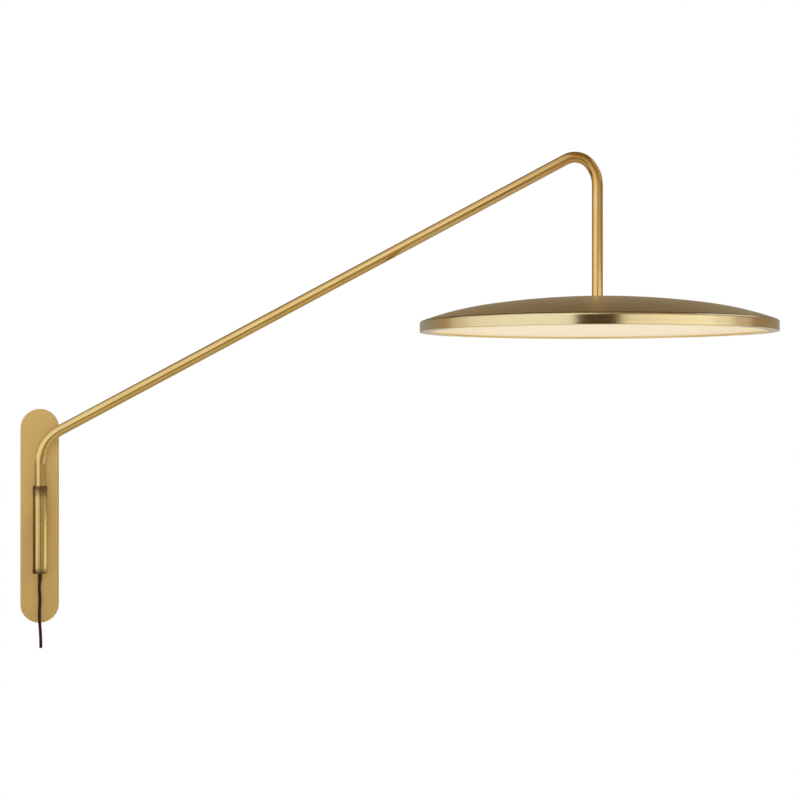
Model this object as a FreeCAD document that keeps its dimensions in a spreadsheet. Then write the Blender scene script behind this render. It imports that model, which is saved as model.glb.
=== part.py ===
import FreeCAD, Part
import math
import os
import re
import Sketcher

# Articulated wall lamp: a wall plate with a swivel barrel, one bent brass arm, and a round
# shade that holds an edge-lit panel. Lengths are in millimetres, angles in degrees.
# The origin is the middle of the plate's back, on the wall. X is right, Z is up, the room is at -Y.

doc = FreeCAD.newDocument("wall_lamp")
sheet = doc.addObject("Spreadsheet::Sheet", "sizes")

SIZES = {
    # Fits shared by many pieces
    "fit_gap": 0.02,
    "seat_gap": 0.05,
    "running_gap": 0.05,
    "bolt_gap": 0.1,
    "cut_margin": 1,
    # Wall plate and the bracket under it
    "plate_width": 50,
    "plate_height": 283,
    "plate_depth": 12,
    "plate_wall": 3,
    "plate_web": 3,
    "plate_edge_round": 0.8,
    "bracket_thickness": 3,
    "bracket_gap": 1,
    "wall_hole_diameter": 5.5,
    "wall_hole_spacing": 180,
    "lug_width": 16,
    "lug_thickness": 3,
    "lug_inset": 12,
    "lug_gap": 0.5,
    "grub_diameter": 4,
    "grub_tip_diameter": 2.6,
    "grub_tip_length": 2,
    "grub_recess": 0.4,
    "grub_socket": 2,
    "grub_socket_depth": 2,
    # Posts that carry the barrel
    "axis_standoff": 32,
    "post_diameter": 12,
    "post_spacing": 72,
    "post_floor": 2.8,
    "post_screw_diameter": 5,
    "post_screw_head": 9,
    "post_screw_head_height": 3.2,
    "post_screw_slot": 1.2,
    "post_screw_tip_gap": 1,
    "post_screw_clearance": 0.25,
    "lock_washer_thickness": 1,
    "lock_washer_diameter": 9.2,
    # Swivel barrel and what is in it
    "barrel_length": 114.6,
    "barrel_drop": 74,
    "barrel_wall": 1.13,
    "barrel_edge": 0.4,
    "bush_wall": 1,
    "bush_length": 15,
    "bush_recess": 0.8,
    "plug_length": 10,
    "plug_recess": 0.6,
    "thrust_washer_thickness": 1,
    "thrust_washer_bore": 6,
    "thrust_washer_gap": 0.2,
    "stop_pin_diameter": 2.4,
    "stop_pin_depth": 6,
    "stop_pin_rise": 4.5,
    "stop_slack": 0.4,
    "notch_height": 6,
    "snap_wire": 1.2,
    "snap_margin": 3,
    "snap_opening": 30,
    "cord_diameter": 4,
    "cord_bush_wall": 1.3,
    "cord_nose_length": 10,
    "cord_nose_wall_top": 0.75,
    "cord_nose_wall_tip": 0.4,
    # Arm
    "arm_diameter": 14,
    "arm_wall": 1.3,
    "reach": 727,
    "arm_slope": 27.9,
    "arm_rise": 99.4,
    "lower_bend_radius": 50,
    "upper_bend_radius": 24.5,
    "upper_bend_turn": 77,
    "easing_radius": 41,
    "easing_run": 0.5,
    "drop_length": 198.8,
    "wall_clearance": 6,
    "grommet_length": 8,
    "grommet_gap": 0.2,
    # Shade
    "shade_diameter": 457,
    "shade_height": 45.26,
    "shade_wall": 1,
    "rim_height": 11.3,
    "crown_radius": 990,
    "crown_reach": 150,
    "shoulder_inner_radius": 2,
    "lip_round": 0.5,
    "spigot_rise": 18,
    "spigot_thread": 10,
    "spigot_bore": 5,
    "spigot_tip": 2,
    "hub_diameter": 84,
    "hub_thickness": 4.5,
    "spigot_washer_diameter": 18,
    "spigot_washer_thickness": 1.8,
    "nut_flats": 17,
    "nut_height": 5,
    # Light panel
    "bezel_thickness": 2.4,
    "bezel_width": 13,
    "bezel_gap": 0.3,
    "bezel_edge": 0.6,
    "diffuser_thickness": 2,
    "diffuser_gap": 0.5,
    "guide_thickness": 3,
    "guide_gap": 0.8,
    "reflector_thickness": 0.5,
    "reflector_gap": 0.2,
    "tray_thickness": 1.5,
    "tray_gap": 0.5,
    "tray_ring": 5.8,
    "strip_thickness": 0.3,
    "chip_depth": 1,
    "chip_width": 3,
    "chip_height": 2,
    "chip_count": 96,
    "bezel_screw_diameter": 2.5,
    "bezel_screw_head": 4.6,
    "bezel_screw_length": 7,
    "bezel_screw_count": 6,
    "pillar_circle": 30,
    "pillar_diameter": 8,
    "pillar_stud": 4,
    "pillar_stud_length": 3,
    "pillar_count": 4,
    "pillar_turn": 45,
    "tray_screw_diameter": 3,
    "tray_screw_head": 5.6,
    "tray_screw_length": 9,
    "thread_run_out": 1,
    # Driver
    "driver_start": 45,
    "driver_length": 90,
    "driver_width": 42,
    "driver_height": 19,
    "driver_wall": 1.5,
    "driver_ear": 9,
    "driver_ear_width": 14,
    "driver_ear_thickness": 2,
    "driver_screw_diameter": 3,
    "driver_screw_head": 5.6,
    "driver_screw_head_height": 2,
    "driver_screw_short": 0.3,
    "cover_thickness": 1.6,
    "cover_rim": 1.5,
    "cover_gap": 0.15,
    "board_ledge": 2.5,
    "board_ledge_width": 2,
    "board_thickness": 1.6,
    "board_gap": 0.3,
    "part_spacing": 5,
    "terminal_inset": 4,
    "terminal_length": 12,
    "terminal_width": 14,
    "terminal_height": 8,
    "transformer_length": 22,
    "transformer_width": 20,
    "transformer_height": 9,
    "capacitor_diameter": 10,
    "capacitor_height": 9,
    "lead_height": 9,
    "lead_bend_radius": 9,
    "lead_hole_gap": 0.2,
    "led_lead_diameter": 1.2,
    "led_lead_spacing": 4,
    "led_lead_rise": 1.2,
    "led_lead_run": 25,
    "led_lead_curve": 6,
    "led_lead_bend": 1.5,
    "led_lead_start": 12,
}

for row, (name, number) in enumerate(SIZES.items(), start=1):
    sheet.set(f"A{row}", name.replace("_", " "))
    sheet.set(f"B{row}", str(number))
    sheet.setAlias(f"B{row}", name)
doc.recompute()

# Sizes and places that follow from the ones above.
# Heights on the arm are measured from the plate's middle, heights in the shade from the rim's bottom.
# The dome is a wide crown arc, then a knuckle arc that meets the crown and the shoulder smoothly.
FORMULAS = {
    "pocket_depth": "plate_depth - plate_web",
    "lug_face": "plate_height / 2 - plate_wall - lug_inset",
    "grub_depth": "(bracket_thickness + pocket_depth) / 2",
    "barrel_bore": "arm_diameter + 2 * (running_gap + bush_wall + fit_gap)",
    "barrel_diameter": "barrel_bore + 2 * barrel_wall",
    "barrel_top": "barrel_length - barrel_drop",
    "post_middle": "barrel_length / 2 - barrel_drop",
    "post_end": "axis_standoff - barrel_diameter / 2 - seat_gap",
    "plug_top": "plug_recess + plug_length - barrel_drop",
    "arm_end": "plug_top + thrust_washer_thickness + running_gap",
    "stop_circle": "(arm_diameter - arm_wall) / 2",
    "snap_level": "arm_end + notch_height + snap_margin",
    "lower_bush_bottom": "snap_level + snap_wire / 2 + running_gap",
    "swing_sine": "(shade_diameter / 2 + wall_clearance - axis_standoff) / reach",
    "swing_cosine": "sqrt(1 - swing_sine ^ 2)",
    "stop_half_width": "stop_pin_diameter / 2 + stop_slack",
    "notch_half_angle": "90 - asin(swing_sine) / 1 deg + asin(stop_half_width / stop_circle) / 1 deg",
    "arm_peak": "arm_rise + reach * tan(arm_slope)",
    "easing_slope": "upper_bend_turn - arm_slope",
    "upper_bend_run": "upper_bend_radius * tan(upper_bend_turn / 2)",
    "easing_bend_run": "easing_radius * tan((90 - easing_slope) / 2)",
    "easing_length": "upper_bend_run + easing_run + easing_bend_run",
    "bend_corner_x": "reach - easing_length * cos(easing_slope)",
    "bend_corner_z": "arm_rise + bend_corner_x * tan(arm_slope)",
    "easing_corner_z": "bend_corner_z - easing_length * sin(easing_slope)",
    "shade_radius": "shade_diameter / 2",
    "shoulder_radius": "shoulder_inner_radius + shade_wall",
    "shoulder_x": "shade_radius - shoulder_radius",
    "crown_z": "shade_height - crown_radius",
    "crown_sine": "crown_reach / crown_radius",
    "crown_cosine": "sqrt(1 - crown_sine ^ 2)",
    "crown_edge_z": "crown_z + crown_radius * crown_cosine",
    "knuckle_run": "shoulder_x - crown_reach",
    "knuckle_fall": "crown_edge_z - rim_height",
    "knuckle_lean": "knuckle_fall * crown_cosine - knuckle_run * crown_sine - shoulder_radius",
    "knuckle_radius": "(knuckle_run ^ 2 + knuckle_fall ^ 2 - shoulder_radius ^ 2) / (2 * knuckle_lean)",
    "knuckle_x": "crown_reach - knuckle_radius * crown_sine",
    "knuckle_z": "crown_edge_z - knuckle_radius * crown_cosine",
    "shoulder_lean_x": "(shoulder_x - knuckle_x) / (knuckle_radius - shoulder_radius)",
    "shoulder_lean_z": "(rim_height - knuckle_z) / (knuckle_radius - shoulder_radius)",
    "shade_level": "arm_peak - drop_length - shade_height",
    "hub_top_radius": "crown_radius - shade_wall - seat_gap",
    "hub_bottom": "shade_height - shade_wall - hub_thickness",
    "washer_bottom": "hub_bottom - spigot_washer_thickness - seat_gap",
    "nut_bottom": "washer_bottom - nut_height - seat_gap",
    "rim_bore": "shade_radius - shade_wall",
    "diffuser_bottom": "bezel_thickness + seat_gap",
    "guide_bottom": "diffuser_bottom + diffuser_thickness + seat_gap",
    "reflector_bottom": "guide_bottom + guide_thickness + seat_gap",
    "tray_bottom": "reflector_bottom + reflector_thickness + seat_gap",
    "tray_top": "tray_bottom + tray_thickness",
    "tray_radius": "rim_bore - tray_gap",
    "ring_bore": "tray_radius - tray_ring",
    "strip_bore": "ring_bore - seat_gap - strip_thickness",
    "guide_radius": "strip_bore - seat_gap - chip_depth - guide_gap",
    "bezel_screw_circle": "tray_radius - tray_ring / 2",
    "board_bottom": "tray_top + driver_wall + board_ledge",
    "board_top": "board_bottom + board_thickness",
    "lead_level": "tray_top + lead_height",
    "driver_end": "driver_start + driver_length",
    "led_lead_circle": "(guide_radius + strip_bore) / 2",
    "ear_screw_offset": "driver_width / 2 + driver_ear / 2",
}


def expand(text):
    """The same expression with every name replaced by spreadsheet cells."""

    def swap(found):
        word = found.group(0)
        if word in FORMULAS:
            return "(" + expand(FORMULAS[word]) + ")"
        if word in SIZES:
            return "sizes." + word
        return word

    return re.sub(r"[a-z_]+", swap, text)


def value(text):
    number = sheet.evalExpression(expand(text))
    return float(getattr(number, "Value", number))


def bind(item, name, text):
    item.setExpression(name, expand(text))


def place(item, frame, x="0", y="0", z="0", spin="0"):
    """Put a piece in the wall's frame, along the swung arm, or under the end of the arm."""
    if frame == "wall":
        spots = (x, y, z)
    else:
        along = x if frame == "arm" else f"reach + {x}"
        spots = (
            f"({along}) * swing_cosine + ({y}) * swing_sine",
            f"({y}) * swing_cosine - ({along}) * swing_sine - axis_standoff",
            z if frame == "arm" else f"shade_level + {z}",
        )
        turn = f"asin(swing_sine) / 1 deg + {spin}"
        swung = FreeCAD.Rotation(FreeCAD.Vector(0, 0, -1), value(turn))
        item.Placement = FreeCAD.Placement(FreeCAD.Vector(), swung)
        bind(item, "Placement.Rotation.Angle", turn)
    for letter, spot in zip("xyz", spots):
        bind(item, "Placement.Base." + letter, spot)


def origin(body, role):
    return [item for item in body.Origin.OriginFeatures if item.Role == role][0]


def sketch_on(body, name, role, lift=None):
    item = body.newObject("Sketcher::SketchObject", name)
    item.AttachmentSupport = (origin(body, role), [""])
    item.MapMode = "FlatFace"
    if lift is not None:
        bind(item, "AttachmentOffset.Base.z", lift)
    return item


def pin_point(item, shape, corner, x, y):
    """Fix one corner of a sketch at two expressions."""
    for kind, axis, text in (("DistanceX", -2, x), ("DistanceY", -1, y)):
        if text == "0":
            item.addConstraint(Sketcher.Constraint("PointOnObject", shape, corner, axis))
        else:
            index = item.addConstraint(Sketcher.Constraint(kind, -1, 1, shape, corner, value(text)))
            bind(item, f"Constraints[{index}]", text)


def arc_between(start, end, radius):
    """A short arc from start to end: a positive radius turns left, a negative one right."""
    chord = end - start
    left = FreeCAD.Vector(-chord.y, chord.x, 0).normalize()
    side = 1 if radius > 0 else -1
    reach_in = math.sqrt(max(radius * radius - chord.Length ** 2 / 4, 0))
    centre = (start + end) * 0.5 + left * (side * reach_in)
    first, last = (start, end) if side > 0 else (end, start)
    begin = math.atan2(first.y - centre.y, first.x - centre.x)
    finish = math.atan2(last.y - centre.y, last.x - centre.x)
    if finish < begin:
        finish += 2 * math.pi
    circle = Part.Circle(centre, FreeCAD.Vector(0, 0, 1), abs(radius))
    return Part.ArcOfCircle(circle, begin, finish)


def outline(item, corners):
    """A closed outline. A corner's third entry starts an arc of that radius, minus for a right turn."""
    points = [FreeCAD.Vector(value(corner[0]), value(corner[1]), 0) for corner in corners]
    ends = []
    for i, corner in enumerate(corners):
        start, end = points[i], points[(i + 1) % len(points)]
        if len(corner) == 2:
            shape = item.addGeometry(Part.LineSegment(start, end), False)
            ends.append((shape, 1, 2))
            continue
        radius = value(corner[2])
        shape = item.addGeometry(arc_between(start, end, radius), False)
        ends.append((shape, 1, 2) if radius > 0 else (shape, 2, 1))
        index = item.addConstraint(Sketcher.Constraint("Radius", shape, abs(radius)))
        bind(item, f"Constraints[{index}]", corner[2].lstrip("-"))
    for i, (shape, first, last) in enumerate(ends):
        following, start, _ = ends[(i + 1) % len(ends)]
        item.addConstraint(Sketcher.Constraint("Coincident", shape, last, following, start))
        pin_point(item, shape, first, corners[i][0], corners[i][1])


def circle_in(item, x, y, diameter):
    centre = FreeCAD.Vector(value(x), value(y), 0)
    circle = Part.Circle(centre, FreeCAD.Vector(0, 0, 1), value(diameter) / 2)
    shape = item.addGeometry(circle, False)
    index = item.addConstraint(Sketcher.Constraint("Diameter", shape, value(diameter)))
    bind(item, f"Constraints[{index}]", diameter)
    pin_point(item, shape, 3, x, y)


def block(x_low, x_high, y_low, y_high):
    return [(x_low, y_low), (x_high, y_low), (x_high, y_high), (x_low, y_high)]


def stadium(width, height):
    side = f"({width}) / 2"
    straight = f"({height} - ({width})) / 2"
    tip = f"({height}) / 2"
    return [
        (side, f"-({straight})"),
        (side, straight, side),
        ("0", tip, side),
        (f"-{side}", straight),
        (f"-{side}", f"-({straight})", side),
        ("0", f"-{tip}", side),
    ]


def round_feature(body, kind, name, corners, role="XZ_Plane", axis=None, turn=None):
    """Turn an outline about the sketch's upright axis, or about a line parallel to it."""
    item = sketch_on(body, name + "_outline", role)
    if turn is not None:
        turned_plane = FreeCAD.Rotation(FreeCAD.Vector(0, 1, 0), value(turn))
        item.AttachmentOffset = FreeCAD.Placement(FreeCAD.Vector(), turned_plane)
        bind(item, "AttachmentOffset.Rotation.Angle", turn)
    outline(item, corners)
    if axis is not None:
        foot = FreeCAD.Vector(value(axis), 0, 0)
        top = FreeCAD.Vector(value(axis), value(axis), 0)
        shape = item.addGeometry(Part.LineSegment(foot, top), True)
        pin_point(item, shape, 1, axis, "0")
        pin_point(item, shape, 2, axis, axis)
    doc.recompute()
    feature = body.newObject("PartDesign::" + kind, name)
    feature.Profile = item
    feature.ReferenceAxis = (item, ["V_Axis" if axis is None else "Axis0"])
    feature.Angle = 360
    body.Tip = feature
    return feature


def around(body, feature, count):
    """Repeat a feature round the body's Z axis."""
    doc.recompute()
    pattern = body.newObject("PartDesign::PolarPattern", feature.Name + "_ring")
    pattern.Originals = [feature]
    pattern.Axis = (origin(body, "Z_Axis"), [""])
    pattern.Angle = 360
    bind(pattern, "Occurrences", count)
    body.Tip = pattern
    return pattern


def flat_feature(body, kind, name, corners, length, role="XZ_Plane", lift=None, reverse=False):
    """Pad or pocket an outline by a length."""
    item = sketch_on(body, name + "_outline", role, lift)
    outline(item, corners)
    doc.recompute()
    feature = body.newObject("PartDesign::" + kind, name)
    feature.Profile = item
    bind(feature, "Length", length)
    feature.Reversed = reverse
    body.Tip = feature
    return feature


def drilled(body, name, spots, diameter, length, role="XZ_Plane", lift=None, reverse=False):
    """Round holes of one size, cut from a plane of the body."""
    item = sketch_on(body, name + "_outline", role, lift)
    for x, y in spots:
        circle_in(item, x, y, diameter)
    doc.recompute()
    feature = body.newObject("PartDesign::Pocket", name)
    feature.Profile = item
    bind(feature, "Length", length)
    feature.Reversed = reverse
    body.Tip = feature
    return feature


def new_body(label):
    body = doc.addObject("PartDesign::Body", label)
    body.Label = label
    return body


def turned(label, corners, role="XZ_Plane"):
    body = new_body(label)
    round_feature(body, "Revolution", label + "_turning", corners, role)
    return body


def bent_tube(label, corners, radii, outer, inner=None, upright=True):
    """A tube along straight runs and tangent bends, drawn in the XZ plane."""
    body = new_body(label)
    path = sketch_on(body, label + "_path", "XZ_Plane")
    points = [FreeCAD.Vector(value(x), value(z), 0) for x, z in corners]
    lines, arcs = [], []
    start = points[0]
    for before, corner, after, radius in zip(points, points[1:], points[2:], radii):
        back = (before - corner).normalize()
        ahead = (after - corner).normalize()
        run = value(radius) / math.tan(back.getAngle(ahead) / 2)
        enter = corner + back * run
        leave = corner + ahead * run
        left_turn = back.x * ahead.y - back.y * ahead.x < 0
        lines.append(path.addGeometry(Part.LineSegment(start, enter), False))
        bend = arc_between(enter, leave, value(radius) if left_turn else -value(radius))
        arcs.append((path.addGeometry(bend, False), 1 if left_turn else 2))
        start = leave
    lines.append(path.addGeometry(Part.LineSegment(start, points[-1]), False))
    pin_point(path, lines[0], 1, *corners[0])
    pin_point(path, lines[-1], 2, *corners[-1])
    for i, (arc, first) in enumerate(arcs):
        path.addConstraint(Sketcher.Constraint("Tangent", lines[i], 2, arc, first))
        path.addConstraint(Sketcher.Constraint("Tangent", arc, 3 - first, lines[i + 1], 1))
        index = path.addConstraint(Sketcher.Constraint("Radius", arc, value(radii[i])))
        bind(path, f"Constraints[{index}]", radii[i])
        mark = path.addGeometry(Part.Point(points[i + 1]), True)
        pin_point(path, mark, 1, *corners[i + 1])
        path.addConstraint(Sketcher.Constraint("PointOnObject", mark, 1, lines[i]))
        path.addConstraint(Sketcher.Constraint("PointOnObject", mark, 1, lines[i + 1]))
    role, lift = ("XY_Plane", corners[0][1]) if upright else ("YZ_Plane", corners[0][0])
    section = sketch_on(body, label + "_section", role, lift)
    middle = ("0", "0") if upright else ("0", corners[0][1])
    for size in (outer, inner):
        if size is not None:
            circle_in(section, *middle, size)
    doc.recompute()
    pipe = body.newObject("PartDesign::AdditivePipe", label + "_pipe")
    pipe.Profile = section
    pipe.Spine = (path, ["Edge" + str(i + 1) for i in range(len(lines) + len(arcs))])
    body.Tip = pipe
    return body


def ring(label, bore, outside, low, high):
    return turned(label, block(f"({bore}) / 2", f"({outside}) / 2", low, high))


def box(label, x, z, length, width, height, y="0"):
    """A block that starts at x, stands on z and is centred on y."""
    item = doc.addObject("Part::Box", label)
    bind(item, "Length", length)
    bind(item, "Width", width)
    bind(item, "Height", height)
    bind(item, "Placement.Base.x", x)
    bind(item, "Placement.Base.y", f"{y} - ({width}) / 2")
    bind(item, "Placement.Base.z", z)
    return item


def rod(label, diameter, height, x="0", y="0", z="0", lying=False):
    """A round bar that stands on z, or lies along X from x."""
    item = doc.addObject("Part::Cylinder", label)
    bind(item, "Radius", f"({diameter}) / 2")
    bind(item, "Height", height)
    if lying:
        item.Placement = FreeCAD.Placement(
            FreeCAD.Vector(), FreeCAD.Rotation(FreeCAD.Vector(0, 1, 0), 90)
        )
    for letter, spot in zip("xyz", (x, y, z)):
        bind(item, "Placement.Base." + letter, spot)
    return item


def joined(label, items):
    whole = doc.addObject("Part::MultiFuse", label)
    whole.Shapes = items
    return whole


def less(label, base, tools):
    result = doc.addObject("Part::Cut", label)
    result.Base = base
    result.Tool = tools[0] if len(tools) == 1 else joined(label + "_tools", tools)
    return result


def together(label, items):
    """Separate solids that make one named piece, such as a set of equal screws."""
    group = doc.addObject("Part::Compound", label)
    group.Links = items
    return group


pieces = {}


def keep(label, item):
    item.Label = label
    pieces[label] = item


# Wall bracket: a steel plate inside the wall plate, with two wall holes and two lugs bent forward.
# The tip of a grub screw enters each lug.
bracket_width = "plate_width - 2 * (plate_wall + bracket_gap)"
bracket_height = "plate_height - 2 * (plate_wall + bracket_gap)"
bracket = new_body("wall_bracket")
flat_feature(bracket, "Pad", "bracket_plate", stadium(bracket_width, bracket_height), "bracket_thickness")
for side in ("", "-"):
    lug = block("-lug_width / 2", "lug_width / 2", f"{side}(lug_face - lug_thickness)", f"{side}lug_face")
    flat_feature(bracket, "Pad", "bracket_lug", lug, "pocket_depth - lug_gap")
    drilled(
        bracket,
        "bracket_lug_hole",
        [("0", "-grub_depth")],
        "grub_tip_diameter + 2 * seat_gap",
        "plate_height / 2",
        "XY_Plane",
        reverse=side == "",
    )
wall_holes = [("0", "wall_hole_spacing / 2"), ("0", "-wall_hole_spacing / 2")]
drilled(bracket, "bracket_wall_holes", wall_holes, "wall_hole_diameter", "bracket_thickness", reverse=True)
place(bracket, "wall")
keep("wall_bracket", bracket)

# Wall plate: a brass pan with full-round ends and a softened front edge, pushed over the bracket.
plate = new_body("backplate")
slab = flat_feature(plate, "Pad", "plate_slab", stadium("plate_width", "plate_height"), "plate_depth")
doc.recompute()
front_edges = []
for number, edge in enumerate(slab.Shape.Edges, start=1):
    if all(abs(corner.Y + value("plate_depth")) < 1e-6 for corner in edge.Vertexes):
        front_edges.append(f"Edge{number}")
softened = plate.newObject("PartDesign::Fillet", "plate_front_edge")
softened.Base = (slab, front_edges)
bind(softened, "Radius", "plate_edge_round")
plate.Tip = softened
inside = stadium("plate_width - 2 * plate_wall", "plate_height - 2 * plate_wall")
flat_feature(plate, "Pocket", "plate_inside", inside, "pocket_depth", reverse=True)
post_levels = ["post_middle + post_spacing / 2", "post_middle - post_spacing / 2"]
drilled(
    plate,
    "plate_post_holes",
    [("0", level) for level in post_levels],
    "post_screw_diameter + 2 * post_screw_clearance",
    "plate_depth",
    reverse=True,
)
for side in ("", "-"):
    drilled(
        plate,
        "plate_grub_hole",
        [("0", "-grub_depth")],
        "grub_diameter + 2 * fit_gap",
        "plate_height / 2 + cut_margin",
        "XY_Plane",
        reverse=side == "",
    )
place(plate, "wall")
keep("backplate", plate)

# Grub screws: one in each end of the plate, with a dog tip in the lug and a hexagon socket.
grub_top = "plate_wall + lug_inset - grub_recess"
grub_body = turned(
    "grub_body",
    [
        ("0", "-grub_tip_length"),
        ("grub_tip_diameter / 2", "-grub_tip_length"),
        ("grub_tip_diameter / 2", "seat_gap"),
        ("grub_diameter / 2", "seat_gap"),
        ("grub_diameter / 2", grub_top),
        ("0", grub_top),
    ],
)
socket = doc.addObject("Part::Prism", "grub_socket_shape")
socket.Polygon = 6
bind(socket, "Circumradius", "grub_socket / sqrt(3)")
bind(socket, "Height", "grub_socket_depth + cut_margin")
bind(socket, "Placement.Base.z", f"{grub_top} - grub_socket_depth")
upper_grub = less("upper_grub", grub_body, [socket])
place(upper_grub, "wall", y="-grub_depth", z="lug_face")
lower_grub = doc.addObject("Part::Mirroring", "lower_grub")
lower_grub.Source = upper_grub
lower_grub.Base = FreeCAD.Vector(0, 0, 0)
lower_grub.Normal = FreeCAD.Vector(0, 0, 1)
keep("plate_grub_screws", together("plate_grub_screws", [upper_grub, lower_grub]))

# Posts: two round stand-offs brazed to the back of the barrel, tapped for screws from inside the plate.
post_face = "-(plate_depth + seat_gap)"
post_tap = "-(post_end - post_floor)"
for label, level in zip(("upper_post", "lower_post"), post_levels):
    post = turned(
        label,
        [
            ("post_screw_diameter / 2 + fit_gap", post_face),
            ("post_diameter / 2", post_face),
            ("post_diameter / 2", "-axis_standoff"),
            ("0", "-axis_standoff"),
            ("0", post_tap),
            ("post_screw_diameter / 2 + fit_gap", post_tap),
        ],
        "XY_Plane",
    )
    saddle = drilled(
        post,
        label + "_saddle",
        [("0", "-axis_standoff")],
        "barrel_diameter + 2 * seat_gap",
        "2 * post_diameter",
        "XY_Plane",
    )
    saddle.Midplane = True
    place(post, "wall", z=level)
    keep(label, post)

# Post screws and their lock washers, inside the plate.
washer_face = "-(pocket_depth - seat_gap)"
head_face = "-(pocket_depth - 2 * seat_gap - lock_washer_thickness)"
head_back = "-(pocket_depth - 2 * seat_gap - lock_washer_thickness - post_screw_head_height)"
screws = []
washers = []
for level in post_levels:
    screw = turned(
        "post_screw",
        [
            ("0", "-(post_end - post_floor - post_screw_tip_gap)"),
            ("post_screw_diameter / 2", "-(post_end - post_floor - post_screw_tip_gap)"),
            ("post_screw_diameter / 2", head_face),
            ("post_screw_head / 2", head_face),
            ("post_screw_head / 2", head_back),
            ("0", head_back),
        ],
        "XY_Plane",
    )
    slot = block("-post_screw_head", "post_screw_head", "-post_screw_slot / 2", "post_screw_slot / 2")
    flat_feature(
        screw,
        "Pocket",
        "post_screw_slot_cut",
        slot,
        "post_screw_slot",
        lift=f"-({head_back})",
        reverse=True,
    )
    place(screw, "wall", z=level)
    screws.append(screw)
    washer = turned(
        "post_lock_washer",
        block(
            "post_screw_diameter / 2 + post_screw_clearance",
            "lock_washer_diameter / 2",
            washer_face,
            f"{washer_face} + lock_washer_thickness",
        ),
        "XY_Plane",
    )
    place(washer, "wall", z=level)
    washers.append(washer)
keep("post_screws", together("post_screws", screws))
keep("post_lock_washers", together("post_lock_washers", washers))

# Swivel barrel: a plain brass tube, its edges lightly broken.
barrel = turned(
    "swivel_barrel",
    [
        ("barrel_bore / 2", "-barrel_drop"),
        ("barrel_diameter / 2 - barrel_edge", "-barrel_drop"),
        ("barrel_diameter / 2", "barrel_edge - barrel_drop"),
        ("barrel_diameter / 2", "barrel_top - barrel_edge"),
        ("barrel_diameter / 2 - barrel_edge", "barrel_top"),
        ("barrel_bore / 2", "barrel_top"),
    ],
)
place(barrel, "wall", y="-axis_standoff")
keep("swivel_barrel", barrel)

# Swivel bushes: two plain bearings pressed into the barrel.
bush_levels = ["barrel_top - bush_recess - bush_length", "lower_bush_bottom"]
for label, level in zip(("upper_bush", "lower_bush"), bush_levels):
    bush = ring(label, "arm_diameter + 2 * running_gap", "barrel_bore - 2 * fit_gap", "0", "bush_length")
    place(bush, "wall", y="-axis_standoff", z=level)
    keep(label, bush)

# End plug: closes the barrel's bottom and holds the cord bush and the stop pin.
plug_bore = "cord_diameter + 2 * (seat_gap + cord_bush_wall + fit_gap)"
plug = ring("end_plug", plug_bore, "barrel_bore - 2 * fit_gap", "plug_recess - barrel_drop", "plug_top")
drilled(
    plug,
    "plug_pin_hole",
    [("0", "stop_circle")],
    "stop_pin_diameter + 2 * fit_gap",
    "stop_pin_depth",
    "XY_Plane",
    lift="plug_top",
)
place(plug, "wall", y="-axis_standoff")
keep("end_plug", plug)

# Stop pin: stands up from the plug into the notch in the arm's end and ends the swing both ways.
pin = rod(
    "stop_pin",
    "stop_pin_diameter",
    "stop_pin_depth + thrust_washer_thickness + running_gap + stop_pin_rise",
    y="stop_circle - axis_standoff",
    z="plug_top - stop_pin_depth",
)
keep("stop_pin", pin)

# Thrust washer: carries the arm's weight on the plug.
thrust = ring(
    "thrust_washer",
    "thrust_washer_bore",
    "barrel_bore - 2 * thrust_washer_gap",
    "plug_top",
    "plug_top + thrust_washer_thickness",
)
drilled(
    thrust,
    "thrust_pin_hole",
    [("0", "stop_circle")],
    "stop_pin_diameter + 2 * seat_gap",
    "2 * thrust_washer_thickness",
    "XY_Plane",
    lift="plug_top + thrust_washer_thickness",
)
place(thrust, "wall", y="-axis_standoff")
keep("thrust_washer", thrust)

# Cord bush: a soft sleeve in the plug with a tapered nose below it.
cord_bore = "cord_diameter / 2 + seat_gap"
nose_tip = "-(barrel_drop + cord_nose_length)"
cord_bush = turned(
    "cord_bush",
    [
        (cord_bore, nose_tip),
        (f"{cord_bore} + cord_nose_wall_tip", nose_tip),
        (f"{cord_bore} + cord_nose_wall_top", "-barrel_drop"),
        (f"{cord_bore} + cord_bush_wall", "-barrel_drop"),
        (f"{cord_bore} + cord_bush_wall", "plug_top"),
        (cord_bore, "plug_top"),
    ],
)
place(cord_bush, "wall", y="-axis_standoff")
keep("cord_bush", cord_bush)

# Cord tail: the end of the supply cord inside the bush and the barrel.
tail = rod(
    "cord_tail",
    "cord_diameter",
    f"arm_end - running_gap - ({nose_tip})",
    y="-axis_standoff",
    z=nose_tip,
)
keep("cord_tail", tail)

# Supply cord: the free stretch, hanging from the nose of the bush in a slack line.
cord_spots = [(0, 0), (0, -12), (0.9, -32), (0.6, -54), (1.9, -74), (2.2, -87.7)]
cord_top = FreeCAD.Vector(0, -value("axis_standoff"), value(nose_tip))
route = [cord_top + FreeCAD.Vector(x, 0, z) for x, z in cord_spots]
cord_radius = value("cord_diameter") / 2
runs = []
start = route[0]
for before, corner, after in zip(route, route[1:], route[2:]):
    back = before - corner
    ahead = after - corner
    half_turn = (math.pi - back.getAngle(ahead)) / 2
    step = 0.45 * min(back.Length, ahead.Length)
    enter = corner + back.normalize() * step
    leave = corner + ahead.normalize() * step
    bend = step / math.tan(half_turn)
    inward = (back + ahead).normalize()
    middle = corner + inward * (bend / math.cos(half_turn) - bend)
    runs.append(Part.LineSegment(start, enter).toShape())
    runs.append(Part.Arc(enter, middle, leave).toShape())
    print("supply_cord bend radius", round(bend, 1))
    start = leave
runs.append(Part.LineSegment(start, route[-1]).toShape())
cord_path = Part.Wire(runs)
along = (route[1] - route[0]).normalize()
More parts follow.
